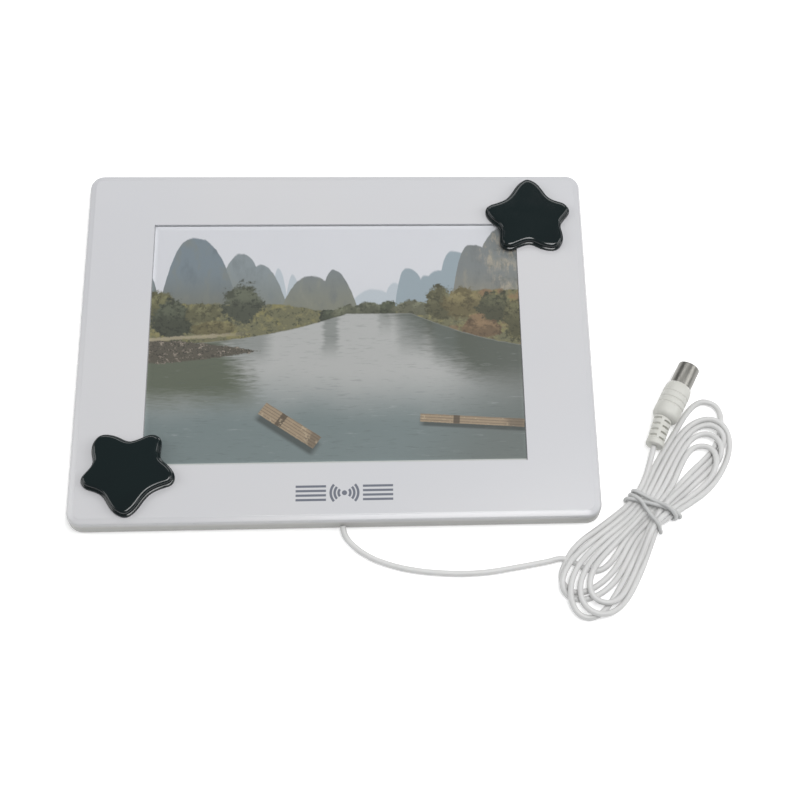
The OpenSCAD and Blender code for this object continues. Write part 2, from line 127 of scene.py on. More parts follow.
LOWER = [
    [(2, 0), (-6, 2), (-14.5, 4.1), (-24, 6.5), (-29, 7.5), (-34, 8), (-38.6, 8), (-43.5, 6.6),
     (-46.9, 3.6), (-48.3, 0), (-47.9, -3.5), (-45.4, -6.6), (-40.6, -8.3), (-34, -8.8),
     (-26, -8.3), (-19, -7.5), (-12.5, -6.5), (-5, -5)],
    [(1, 1.6), (-7, 4.4), (-14.5, 6.9), (-24, 9.4), (-29, 10.3), (-34, 10.9), (-38.6, 11.3),
     (-43.5, 10.8), (-48.3, 9), (-52, 5), (-53.4, 0), (-52.7, -4.5), (-49.3, -8.3), (-43.5, -10.8),
     (-34, -11.4), (-24, -10.6), (-14.5, -9.4), (-5, -9)],
    [(1, 3.4), (-7, 6.4), (-14.5, 9.6), (-24, 12.6), (-29, 13.6), (-34, 14.4), (-38.6, 15.1),
     (-43.5, 15), (-48.3, 13.9), (-52.4, 11.4), (-55.8, 7.4), (-57.3, 3), (-57, -1), (-54, -4),
     (-47, -5.6), (-38, -6), (-29, -6), (-19, -5), (-7, -4.5)],
    [(0, 5), (-8, 8.4), (-14.5, 12), (-24, 15.6), (-29, 17.2), (-34, 18.5), (-38.6, 19), (-43.5, 19),
     (-48, 17.6), (-51, 15), (-52, 11.5), (-50.5, 6.6), (-46, 2), (-40, -1.4), (-32, -3.4),
     (-22, -3.6), (-8, -3)],
    [(-1, 6.4), (-9, 10), (-16.5, 14.2), (-22, 18), (-29, 20.8), (-35.7, 22.2), (-41, 21.6),
     (-46, 19.8), (-50.4, 17), (-50.8, 13), (-47, 8), (-41, 3.8), (-34, 0.8), (-25, -1.2), (-14, -0.6),
     (-6, -1), (1, -3)]]
GROW_UP, GROW_LOW = 1.02, 1.035     # the loops draw in by this much as they settle


def hank_point(uv, z):
    """The place of a point given along and across the hank."""
    x, y = HANK_AT + uv[0] * ALONG + uv[1] * ACROSS
    return (x, y, z)


def smooth_line(points, per):
    """A centripetal Catmull-Rom line through the points, per steps between two of them."""
    p = np.array(points, float)
    p = np.vstack([2 * p[0] - p[1], p, 2 * p[-1] - p[-2]])
    line = []
    for i in range(1, len(p) - 2):
        a, b, c, d = p[i - 1:i + 3]
        t = [0.0]
        for m, n in ((a, b), (b, c), (c, d)):
            t.append(t[-1] + max(np.linalg.norm(n - m), 1e-6) ** 0.5)
        for k in range(per):
            s = t[1] + (t[2] - t[1]) * k / per
            ab = ((t[1] - s) * a + s * b) / t[1]
            bc = ((t[2] - s) * b + (s - t[1]) * c) / (t[2] - t[1])
            cd = ((t[3] - s) * c + (s - t[2]) * d) / (t[3] - t[2])
            abc = ((t[2] - s) * ab + s * bc) / t[2]
            bcd = ((t[3] - s) * bc + (s - t[1]) * cd) / (t[3] - t[1])
            line.append(((t[2] - s) * abc + (s - t[1]) * bcd) / (t[2] - t[1]))
    line.append(p[-2])
    return np.array(line)


def even_steps(p, step):
    """The same line with its points as near as possible to step apart."""
    run = np.r_[0, np.cumsum(np.linalg.norm(np.diff(p, axis=0), axis=1))]
    s = np.linspace(0, run[-1], int(round(run[-1] / step)) + 1)
    return np.stack([np.interp(s, run, p[:, k]) for k in range(3)], 1)


def laid_route():
    """Lead, five turns of the hank from the top loop outwards, and the tail to the plug."""
    points = list(LEAD) + [hank_point(q, FLOOR_Z) for q in LEAD_IN]
    for i, (up, low) in enumerate(zip(UPPER, LOWER)):
        top = LEVEL * (len(UPPER) - 1 - i)
        for k, (u, v) in enumerate(up):
            rise = min(1, k / 4) if i == 0 else 1
            points.append(hank_point((u * GROW_UP, v), FLOOR_Z + top * rise))
        points += [hank_point((u * GROW_LOW, v), FLOOR_Z + top) for u, v in reversed(low)]
    return even_steps(smooth_line(points + TAIL, 8), 2.0)


def floor_under(p):
    """Lowest height for the middle of the cord: the floor, and the tie where it crosses that."""
    d = p[:, :2] - HANK_AT
    hump = TIE_UNDER * np.exp(-((d @ ALONG - TIE_U) / 6) ** 2)
    return FLOOR_Z + hump * (np.abs(d @ ACROSS) < HANK_HALF)


def open_bends(q, k):
    """Opens any bend tighter than TIGHTEST, measured over k points each way."""
    a, b, c = q[:-2 * k], q[k:-k], q[2 * k:]
    middle = (a + c) / 2
    half = np.linalg.norm(c - a, axis=1) / 2
    sag = np.linalg.norm(b - middle, axis=1)
    radius = (half ** 2 + sag ** 2) / np.maximum(2 * sag, 1e-6)
    move = (middle - b) * (np.clip(TIGHTEST / radius - 1, 0, 0.5) * 0.5)[:, None]
    out = q.copy()
    out[k:-k] += move
    out[:-2 * k] -= move * 0.35
    out[2 * k:] -= move * 0.35
    return out


def stiffen(q, k):
    """Damps waves shorter than a few times k points and leaves an even bend as it is."""
    out = q.copy()
    fourth = q[:-4 * k] - 4 * q[k:-3 * k] + 6 * q[2 * k:-2 * k] - 4 * q[3 * k:-k] + q[4 * k:]
    out[2 * k:-2 * k] -= fourth / 16
    return out


def keep_length(q, step):
    """Draws neighbouring points back towards step apart."""
    d = q[1:] - q[:-1]
    length = np.linalg.norm(d, axis=1)
    shift = d * ((length - step) / np.maximum(length, 1e-9) * 0.225)[:, None]
    out = q.copy()
    out[:-1] += shift
    out[1:] -= shift
    return out


def part_strands(q, i, j, gap):
    """Moves strands that are closer than gap apart, less under the tie that squeezes them."""
    d = q[i] - q[j]
    squeeze = np.exp(-(((q[i, :2] - HANK_AT) @ ALONG - TIE_U) / 9) ** 2)
    gap = gap * (1 - SQUEEZE * squeeze)
    length = np.linalg.norm(d, axis=1) + 1e-9
    hit = length < gap
    push = d[hit] * ((gap - length)[hit] / length[hit] / 2)[:, None]
    i, j = i[hit], j[hit]
    total, count = np.zeros_like(q), np.zeros(len(q))
    np.add.at(total, i, push)
    np.add.at(total, j, -push)
    np.add.at(count, i, 1)
    np.add.at(count, j, 1)
    total /= np.maximum(count, 1)[:, None]
    for _ in range(2):
        total[1:-1] = (total[:-2] + total[1:-1] * 2 + total[2:]) / 4 * 1.35
    return q + total


def settled(p, rounds=400):
    """Lets the laid cord come to rest: weight, stiffness, a fixed length and no overlap."""
    rest, n = p.copy(), len(p)
    first = int(np.argmin(np.linalg.norm(p - np.array(LEAD[-1]), axis=1)))
    last = int(np.argmin(np.linalg.norm(p - np.array(TAIL[3]), axis=1)))
    index = np.arange(n)
    free = (np.clip((index - first) / 10, 0, 1) * np.clip((last - index) / 10, 0, 1))[:, None]
    step = np.linalg.norm(np.diff(p, axis=0), axis=1).mean()
    for turn in range(rounds):
        if turn % 8 == 0:
            apart = ((p[:, None, :] - p[None, :, :]) ** 2).sum(-1)
            i, j = np.where(np.triu(apart < (CORD_D * 2.2) ** 2, 4))
        q = p.copy()
        q[:, 2] -= SINK
        q[:, :2] += (rest[:, :2] - q[:, :2]) * HOLD
        for _ in range(3):
            q = stiffen(stiffen(q, 1), 2)
        q[1:-1, 2] += ((q[:-2, 2] + q[2:, 2]) / 2 - q[1:-1, 2]) * 0.3
        q = open_bends(q, 3)
        for _ in range(3):
            q = keep_length(part_strands(q, i, j, CORD_D * 0.98), step)
            q[:, 2] = np.maximum(q[:, 2], floor_under(q))
        p = p + (q - p) * free
    return p


def link(obj):
    """Puts a new object in the scene."""
    scene.collection.objects.link(obj)
    return obj


def tube(name, line, radius):
    """A round cord along a line of points in millimetres, as a curve of one open spline."""
    curve = bpy.data.curves.new(name, "CURVE")
    curve.dimensions = "3D"
    curve.bevel_depth = 1.0
    curve.bevel_resolution = 4
    curve.use_fill_caps = True
    spline = curve.splines.new("POLY")
    spline.points.add(len(line) - 1)
    spline.points.foreach_set("co", np.c_[line * MM, np.ones(len(line))].ravel())
    spline.points.foreach_set("radius", np.full(len(line), radius * MM))
    spline.use_smooth = True
    return link(bpy.data.objects.new(name, curve))


cord_line = settled(laid_route())
fine_line = even_steps(smooth_line(cord_line, 3), 1.0)
cord = tube("aerial_cord", fine_line, CORD_D / 2)


# ---------------------------------------------------------------- tie

TIE_R = 0.95
TIE_SIDES = 120     # points in one turn round the hank
TIE_POINTS = 420    # points along the whole wire


def tie_section(u):
    """The taut loop of wire round the hank at u, from its left edge over the top."""
    d = cord_line[:, :2] - HANK_AT
    near = np.abs(d @ ALONG - u) < 2.2
    inside = np.abs(d @ ACROSS) < HANK_HALF
    strands = np.c_[(d @ ACROSS)[near & inside], cord_line[near & inside, 2]]
    reach = CORD_D / 2 + TIE_R
    loop = []
    for angle in np.linspace(0, 2 * math.pi, 720, endpoint=False):
        out = np.array([math.cos(angle), math.sin(angle)])
        loop.append(strands[np.argmax(strands @ out)] + out * reach)
    loop = np.array(loop + loop[:1])
    run = np.r_[0, np.cumsum(np.linalg.norm(np.diff(loop, axis=0), axis=1))]
    s = np.linspace(0, run[-1], TIE_SIDES, endpoint=False)
    loop = np.stack([np.interp(s, run, loop[:, k]) for k in (0, 1)], 1)
    loop[:, 1] = np.maximum(loop[:, 1], TIE_R)
    return loop


def tie_line():
    """Three wires over the top of the hank and two under it, the last one crossing slantwise."""
    stations = np.arange(-7, 9)
    loops = np.array([tie_section(u) for u in stations])
    # (turns round the hank, place along it)
    marks = np.array([(-0.03, 1), (0.0, 1.2), (0.25, 4.4), (0.47, 7.2), (0.75, 6.6), (1.0, 6.6),
                      (1.25, 6.2), (1.47, 5.4), (1.75, 3.8), (2.0, 4.4), (2.15, 2.8),
                      (2.3, -1.2), (2.45, -4.6), (2.52, -5.4)])
    turns = np.linspace(marks[0, 0], marks[-1, 0], TIE_POINTS)
    u = np.interp(turns, marks[:, 0], marks[:, 1])
    u = np.convolve(np.pad(u, 12, mode="edge"), np.ones(25) / 25, mode="valid")
    line = []
    for turn, at in zip(turns, u):
        k = int(np.clip(math.floor(at - stations[0]), 0, len(stations) - 2))
        mix = at - stations[k]
        f = (turn % 1) * TIE_SIDES
        i, part = int(f) % TIE_SIDES, f - int(f)
        section = loops[k] * (1 - mix) + loops[k + 1] * mix
        v, z = section[i] * (1 - part) + section[(i + 1) % TIE_SIDES] * part
        line.append(hank_point((at, v), z))
    return lifted_over_itself(np.array(line))


def lifted_over_itself(line):
    """The wire raised where it crosses over its own earlier turns, then smoothed."""
    lift = np.zeros(len(line))
    for i in range(60, len(line)):
        earlier = line[:i - 40] + np.c_[np.zeros((i - 40, 2)), lift[:i - 40]]
        gap = np.linalg.norm(earlier - line[i], axis=1).min()
        if line[i, 2] > 4:
            lift[i] = max(0, 2 * TIE_R - gap)
    for _ in range(8):
        lift[1:-1] = np.maximum(lift[1:-1], (lift[:-2] + lift[2:]) / 2)
    lift = np.convolve(lift, np.hanning(17) / np.hanning(17).sum(), mode="same")
    line[:, 2] += lift
    for _ in range(6):
        line[1:-1] = (line[:-2] + 2 * line[1:-1] + line[2:]) / 4
    return line


tie = tube("tie_wire", tie_line(), TIE_R)


# ---------------------------------------------------------------- plug

PLUG_AT = Vector((155.3, -43.3, 6.6)) * MM      # where the grip starts
PLUG_TURN = math.radians(61.6)
BOOT_AT = Vector((149.6, -56.7, 6.6)) * MM      # free end of the strain relief
BOOT_TURN = math.radians(68.5)
BOOT_L, BOOT_R0, BOOT_R1 = 14.4, 4.1, 4.45
COLLAR_L, COLLAR_R = 3, 4.4
SLOT_ROWS, SLOT_FIRST, SLOT_PITCH, SLOT_SHIFT = 4, 3.6, 3.05, 0.9
SLOT_W, SLOT_DEEP = 0.85, 1.3
GRIP_L, GRIP_R, GRIP_ROUND, SHOULDER_L = 19.7, 6.6, 3.2, 4
GRIP_GROOVES, GROOVE_DEEP, GROOVE_WIDE = (7.5, 10.6, 13.7), 0.34, 0.32
SHELL_R, SHELL_L, SHELL_WALL, SHELL_IN, SHELL_STEP = 5.3, 11.8, 0.55, 4, 0.25


def mesh_object(name, verts, faces, smooth_angle=40):
    """A mesh from points in millimetres, smooth up to smooth_angle."""
    mesh = bpy.data.meshes.new(name)
    mesh.from_pydata([Vector(v) * MM for v in verts], [], faces)
    mesh.validate()
    bm = bmesh.new()
    bm.from_mesh(mesh)
    bmesh.ops.recalc_face_normals(bm, faces=bm.faces)
    limit = math.radians(smooth_angle)
    for face in bm.faces:
        face.smooth = True
    for edge in bm.edges:
        edge.smooth = len(edge.link_faces) == 2 and edge.calc_face_angle(0) < limit
    bm.to_mesh(mesh)
    bm.free()
    return link(bpy.data.objects.new(name, mesh))


def lathe(name, profile, sides, dent, smooth_angle=40):
    """Turns (radius, height) points round Z; dent(angle, height) is taken off the radius."""
    verts, faces = [], []
    for r, z in profile:
        for k in range(sides):
            a = 2 * math.pi * k / sides
            outer = r - dent(a, z) if r > 1 else r
            verts.append((outer * math.cos(a), outer * math.sin(a), z))
    rings = len(profile)
    for i in range(rings - 1):
        for k in range(sides):
            m = (k + 1) % sides
            faces.append((i * sides + k, i * sides + m, (i + 1) * sides + m, (i + 1) * sides + k))
    faces.append(tuple(range(sides))[::-1])
    faces.append(tuple(range((rings - 1) * sides, rings * sides)))
    return mesh_object(name, verts, faces, smooth_angle)


def closed_ring(name, profile, sides=96):
    """A lathe whose profile is a closed loop, such as a tube's wall."""
    verts, faces = [], []
    n = len(profile)
    for r, z in profile:
        for k in range(sides):
            a = 2 * math.pi * k / sides
            verts.append((r * math.cos(a), r * math.sin(a), z))
    for i in range(n):
        j = (i + 1) % n
        for k in range(sides):
            m = (k + 1) % sides
            faces.append((i * sides + k, i * sides + m, j * sides + m, j * sides + k))
    return mesh_object(name, verts, faces)


def arc(centre, radius, start, end, count=7):
    """(radius, height) points along an arc, its angles in degrees from the outward direction."""
    return [(centre[0] + radius * math.cos(math.radians(a)),
             centre[1] + radius * math.sin(math.radians(a)))
            for a in np.linspace(start, end, count)]


def dense(profile, step):
    """The same profile with points no further apart than step."""
    out = [profile[0]]
    for (r0, z0), (r1, z1) in zip(profile, profile[1:]):
        n = max(1, int(math.ceil(math.hypot(r1 - r0, z1 - z0) / step)))
        out += [(r0 + (r1 - r0) * k / n, z0 + (z1 - z0) * k / n) for k in range(1, n + 1)]
    return out


def stand_along(obj, at, turn):
    """Moves obj to at with its Z level along turn and its X straight up."""
    along = Vector((math.cos(turn), math.sin(turn), 0))
    up = Vector((0, 0, 1))
    rows = Matrix((up, along.cross(up), along)).transposed().to_4x4()
    obj.matrix_world = Matrix.Translation(at) @ rows


def soft_step(x, lo, hi):
    """0 below lo and 1 above hi, with a smooth step between."""
    t = min(max((x - lo) / (hi - lo), 0), 1)
    return t * t * (3 - 2 * t)


def boot_slots(angle, z):
    """The four columns of slots, those of every second column a little further on."""
    deep = 0
    for side in range(4):
        off = (angle - math.radians(45 + 90 * side) + math.pi) % (2 * math.pi) - math.pi
        wide = 1 - soft_step(abs(off), math.radians(30), math.radians(36))
        for row in range(SLOT_ROWS):
            edge = abs(z - SLOT_FIRST - SLOT_PITCH * row - SLOT_SHIFT * (side % 2))
            deep = max(deep, wide * (1 - soft_step(edge, SLOT_W / 2 - 0.12, SLOT_W / 2 + 0.12)))
    return deep * SLOT_DEEP


def grip_rings(angle, z):
    """Three shallow grooves round the grip."""
    return sum(GROOVE_DEEP * math.exp(-((z - at) / GROOVE_WIDE) ** 2) for at in GRIP_GROOVES)


def make_plug():
    """Strain relief, moulded grip and outer contact, where the cord's tail ends."""
    collar = [(1.5, 0.05)] + arc((COLLAR_R - 0.9, 0.9), 0.9, -90, 0) \
        + arc((COLLAR_R - 0.5, COLLAR_L - 0.5), 0.5, 0, 70, 4) + [(BOOT_R0 - 0.15, COLLAR_L)]
    barrel = [(BOOT_R0, COLLAR_L + 0.2), (BOOT_R1, BOOT_L), (BOOT_R1 - 0.1, BOOT_L + 1.2),
              (1.5, BOOT_L + 1.2)]
    boot = lathe("plug_boot_moulding", dense(collar + barrel, 0.14), 120, boot_slots, 60)
    low = arc((GRIP_R - GRIP_ROUND, GRIP_ROUND), GRIP_ROUND, -90, 0, 12)
    lip = SHELL_R + 0.1
    shoulder = [(lip + (GRIP_R - lip) * math.sin(a), GRIP_L - SHOULDER_L * (1 - math.cos(a)))
                for a in np.linspace(math.pi / 2, 0, 12)]
    tail = SHELL_R - SHELL_STEP
    bore = [(tail + 0.02, GRIP_L), (tail + 0.02, GRIP_L - SHELL_IN), (0.6, GRIP_L - SHELL_IN)]
    profile = [(0.6, 0)] + low + dense([low[-1], shoulder[0]], 0.15)[1:] + shoulder[1:] + bore
    grip = lathe("plug_grip_moulding", profile, 96, grip_rings)
    end, inner = GRIP_L + SHELL_L, SHELL_R - SHELL_WALL
    wall = [(inner, GRIP_L - SHELL_IN), (tail, GRIP_L - SHELL_IN), (tail, GRIP_L), (SHELL_R, GRIP_L)] \
        + arc((SHELL_R - 0.28, end - 0.28), 0.28, 0, 90, 6) \
        + arc((inner + 0.25, end - 0.25), 0.25, 90, 180, 5)
    shell = closed_ring("plug_outer_contact", wall)
    stand_along(boot, BOOT_AT, BOOT_TURN)
    for piece in (grip, shell):
        stand_along(piece, PLUG_AT, PLUG_TURN)
    return boot, grip, shell


boot, grip, shell = make_plug()
for piece in (cord, tie, boot, grip, shell):
    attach(piece, "frame")
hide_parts("cord_lead", "cord_hank", "cord_tail")
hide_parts("twist_tie")
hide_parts("plug_boot")
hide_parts("plug_grip")
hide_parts("plug_shell")


# ---------------------------------------------------------------- stars

# (angle, radius) of the points and the hollows between them
STAR_KEYS = [
    (90, 24), (76, 22.2), (64, 19.2), (52, 17.2), (40, 17.8), (26, 21.3), (14, 21.7), (4, 18.4),
    (-10, 16), (-24, 18.4), (-38, 20.8), (-52, 21.2), (-68, 17.3), (-88, 13.1), (-106, 15.1),
    (-120, 19.3), (-134, 20), (-148, 16.5), (-162, 14.6), (-176, 17.6), (-190, 21.1),
    (-202, 21.6), (-214, 18), (-230, 16.2), (-246, 17.8), (-258, 21.2)]
STAR_WIDE = 1.02    # how much wider than those radii
STAR_STEP, STAR_PASSES = 0.4, 26    # the outline's steps, and how often it is smoothed
MAGNET_R, MAGNET_H = 6.05, 2.0      # the magnet's pocket
# (inset from the outline, height) up the edge of a star: flange, step and rounded top
STAR_EDGE = [(0, 0), (0, 0.95), (0.08, 1.2), (0.28, 1.36), (0.8, 1.4), (0.92, 1.48), (0.95, 1.7),
             (0.95, 3.0), (1.05, 3.35), (1.32, 3.66), (1.75, 3.88), (2.3, 3.98), (3.0, 4.0)]


def star_outline():
    """The star as a closed line: a smooth one through the keys, then rounded off a little."""
    keys = [(STAR_WIDE * r * math.cos(math.radians(a)), r * math.sin(math.radians(a)), 0)
            for a, r in STAR_KEYS]
    n = len(keys)
    line = smooth_line(keys[-3:] + keys + keys[:4], 8)[3 * 8:(n + 3) * 8, :2]
    line = even_steps(np.c_[np.vstack([line, line[:1]]), np.zeros(len(line) + 1)], STAR_STEP)
    line = line[:-1, :2]
    for _ in range(STAR_PASSES):
        line = (np.roll(line, 1, 0) + 2 * line + np.roll(line, -1, 0)) / 4
    return line


def make_star(name, node, body, flip):
    """A star with a pocket for its magnet underneath; a flip of -1 turns it half round."""
    at, foot = middle(node + "_magnet"), round(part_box(node)[0][2] / MM, 2)
    outline = star_outline()
    n = len(outline)
    along = np.roll(outline, -2, 0) - np.roll(outline, 2, 0)
    normal = np.c_[along[:, 1], -along[:, 0]] / np.linalg.norm(along, axis=1)[:, None]
    if (normal * outline).sum() < 0:
        normal = -normal
    verts, faces = [], []

    def ring(points, z):
        verts.extend((at[0] + flip * x, at[1] + flip * y, foot + z) for x, y in points)
        return len(verts) - n

    def strip(a, b):
        faces.extend((a + k, a + (k + 1) % n, b + (k + 1) % n, b + k) for k in range(n))

    angle = np.arctan2(outline[:, 1], outline[:, 0])
    circle = np.c_[np.cos(angle), np.sin(angle)] * MAGNET_R
    pocket = ring(circle, MAGNET_H)
    mouth = ring(circle, 0)
    strip(pocket, mouth)
    faces.append(tuple(range(pocket, pocket + n)))
    last = mouth
    for inset, z in STAR_EDGE:
        this = ring(outline - normal * inset, z)
        strip(last, this)
        last = this
    faces.append(tuple(range(last, last + n)))
    star = mesh_object(name, verts, faces, 50)
    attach(star, body)
    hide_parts(node)
    return star


star_top = make_star("star_upper", "star_top", "top_star", 1)
star_bottom = make_star("star_lower", "star_bottom", "bottom_star", -1)


# ---------------------------------------------------------------- materials

def srgb(r, g, b):
    """Linear colour from 0-255 display values."""
    def lin(v):
        v /= 255
        return v / 12.92 if v < 0.04045 else ((v + 0.055) / 1.055) ** 2.4
    return (lin(r), lin(g), lin(b), 1)


class Field:
    """A number that varies over a surface: shader nodes written as ordinary arithmetic."""

    def __init__(self, tree, out):
        self.tree, self.out = tree, out

    def op(self, kind, *values):
        node = self.tree.nodes.new("ShaderNodeMath")
        node.operation = kind
        for socket, value in zip(node.inputs, values):
            if isinstance(value, Field):
                self.tree.links.new(value.out, socket)
            else:
                socket.default_value = value
        return Field(self.tree, node.outputs[0])

    def __add__(self, other): return self.op("ADD", self, other)
    def __sub__(self, other): return self.op("SUBTRACT", self, other)
    def __rsub__(self, other): return self.op("SUBTRACT", other, self)
    def __mul__(self, other): return self.op("MULTIPLY", self, other)
    def __truediv__(self, other): return self.op("DIVIDE", self, other)
    def __abs__(self): return self.op("ABSOLUTE", self)
    def __pow__(self, power): return self.op("POWER", self, power)
    def high(self, other): return self.op("MAXIMUM", self, other)
    def low(self, other): return self.op("MINIMUM", self, other)
    def sine(self): return self.op("SINE", self)

    def step(self, lo, hi):
        """0 below lo and 1 above hi, with a soft step between; lo above hi turns it round."""
        if lo > hi:
            return 1 - self.step(hi, lo)
        node = self.tree.nodes.new("ShaderNodeMapRange")
        node.interpolation_type = "SMOOTHSTEP"
        node.inputs["From Min"].default_value = lo
        node.inputs["From Max"].default_value = hi
        self.tree.links.new(self.out, node.inputs["Value"])
        return Field(self.tree, node.outputs[0])

    def fit(self, lo, hi):
        """A 0-1 field stretched to lo-hi."""
        return self * (hi - lo) + lo


class Surface:
    """A material being built round one Principled shader."""

    def __init__(self, name, colour, roughness, metallic=0.0, specular=0.5, coat=0.0, coat_rough=0.05):
        self.material = bpy.data.materials.new(name)
        self.material.use_nodes = True
        self.tree = self.material.node_tree
        self.nodes, self.links = self.tree.nodes, self.tree.links
        self.shader = self.nodes["Principled BSDF"]
        self.shader.inputs["Base Color"].default_value = colour
        self.shader.inputs["Roughness"].default_value = roughness
        self.shader.inputs["Metallic"].default_value = metallic
        self.shader.inputs["Specular IOR Level"].default_value = specular
        self.shader.inputs["Coat Weight"].default_value = coat
        self.shader.inputs["Coat Roughness"].default_value = coat_rough
        self.colour = None
        coord = self.nodes.new("ShaderNodeTexCoord")
        self.place = coord.outputs["Object"]

    def axes(self, origin=(0, 0, 0)):
        """x, y and z over the surface as fields, in millimetres from origin."""
        split = self.nodes.new("ShaderNodeSeparateXYZ")
        self.links.new(self.place, split.inputs[0])
        return [Field(self.tree, s) / MM - o for s, o in zip(split.outputs, origin)]

    def noise(self, scale, detail=3, rough=0.5, stretch=(1, 1, 1)):
        """Noise of 0-1 with so many waves to a metre, drawn out by stretch."""
        node = self.nodes.new("ShaderNodeTexNoise")
        node.inputs["Scale"].default_value = scale
        node.inputs["Detail"].default_value = detail
        node.inputs["Roughness"].default_value = rough
        source = self.place
        if stretch != (1, 1, 1):
            mapping = self.nodes.new("ShaderNodeMapping")
            mapping.inputs["Scale"].default_value = stretch
            self.links.new(source, mapping.inputs[0])
            source = mapping.outputs[0]
        self.links.new(source, node.inputs["Vector"])
        return Field(self.tree, node.outputs[0])

    def paint(self, colour, mask):
        """Lays colour over what is there, as thick as the mask."""
        mix = self.nodes.new("ShaderNodeMix")
        mix.data_type = "RGBA"
        base = self.shader.inputs["Base Color"]
        if self.colour is None:
            mix.inputs[6].default_value = base.default_value
        else:
            self.links.new(self.colour, mix.inputs[6])
        mix.inputs[7].default_value = colour
        self.links.new(mask.out, mix.inputs[0])
        self.colour = mix.outputs[2]
        self.links.new(self.colour, base)

    def shade(self, amount):
        """Multiplies the colour by a field."""
        mix = self.nodes.new("ShaderNodeVectorMath")
        mix.operation = "SCALE"
        base = self.shader.inputs["Base Color"]
        if self.colour is None:
            mix.inputs[0].default_value = base.default_value[:3]
        else:
            self.links.new(self.colour, mix.inputs[0])
        self.links.new(amount.out, mix.inputs["Scale"])
        self.colour = mix.outputs[0]
        self.links.new(self.colour, base)

    def rough(self, field):
        """Takes the roughness from a field."""
        self.links.new(field.out, self.shader.inputs["Roughness"])

    def bump(self, field, height, strength=1.0):
        """Raises the surface by the field times height, in millimetres."""
        node = self.nodes.new("ShaderNodeBump")
        node.inputs["Strength"].default_value = strength
        node.inputs["Distance"].default_value = height * MM
        self.links.new(field.out, node.inputs["Height"])
        self.links.new(node.outputs[0], self.shader.inputs["Normal"])


def hill(x, middle, halves, top, power=2.3):
    """Height of a rounded hill over x: top at its middle, 0 from its left and right half on."""
    left, right = halves if isinstance(halves, tuple) else (halves, halves)
    side = ((x - middle) / right).high((middle - x) / left)
    return ((1 - side ** power) * top).high(0)


def ridge(x, *hills):
    """The skyline of several hills."""
    line = hill(x, *hills[0])
    for shape in hills[1:]:
        line = line.high(hill(x, *shape))
    return line


def tint(colour, amount):
    """A display colour made lighter or darker by a factor."""
    return srgb(*[min(255, v * amount) for v in colour])


# ---- the landscape on the print: made up, on the pattern of a river between limestone hills

PRINT_HALVES = halves("photo_print")
SHORE = 11.0        # height of the far bank above the print's middle
# (middle, half width, half height, display colour)
TREES = [
    ((-85, 20), 7, 7, (96, 94, 68)), ((-79, 12), 9.5, 11, (70, 73, 60)),
    ((-64, 15), 8, 5, (98, 96, 72)), ((-45, 20), 9.5, 10.5, (76, 79, 66)),
    ((-58, 7), 10, 4, (104, 98, 70)), ((-3, 13), 5, 3.6, (72, 76, 62)),
    ((6, 14), 8, 5, (96, 98, 80)), ((16, 16), 8, 5, (88, 90, 74)),
    ((25, 17), 4.5, 5, (74, 78, 62)), ((37, 17), 10, 4.5, (100, 100, 82)),
    ((50, 20), 7, 9, (90, 88, 66)), ((62, 20), 10, 8, (106, 98, 70)),
    ((77, 17), 8, 9, (76, 76, 58)), ((87, 11), 6, 11, (84, 82, 60)),
    ((70, 6), 10, 5, (110, 92, 70))]
# (middle, half width, where it fades out, strength) of the hills' reflections
REFLECTIONS = [(-3, 5, -12, 0.6), (36, 9, -12, 0.45), (23, 4, 0, 0.4), (-42, 13, -16, 0.55),
               (52, 8, -16, 0.6)]
# (middle, angle, half length, half width)
RAFTS = [((-22, -44), -35, 16, 3.7), ((64, -42.5), -4, 25, 2.3)]


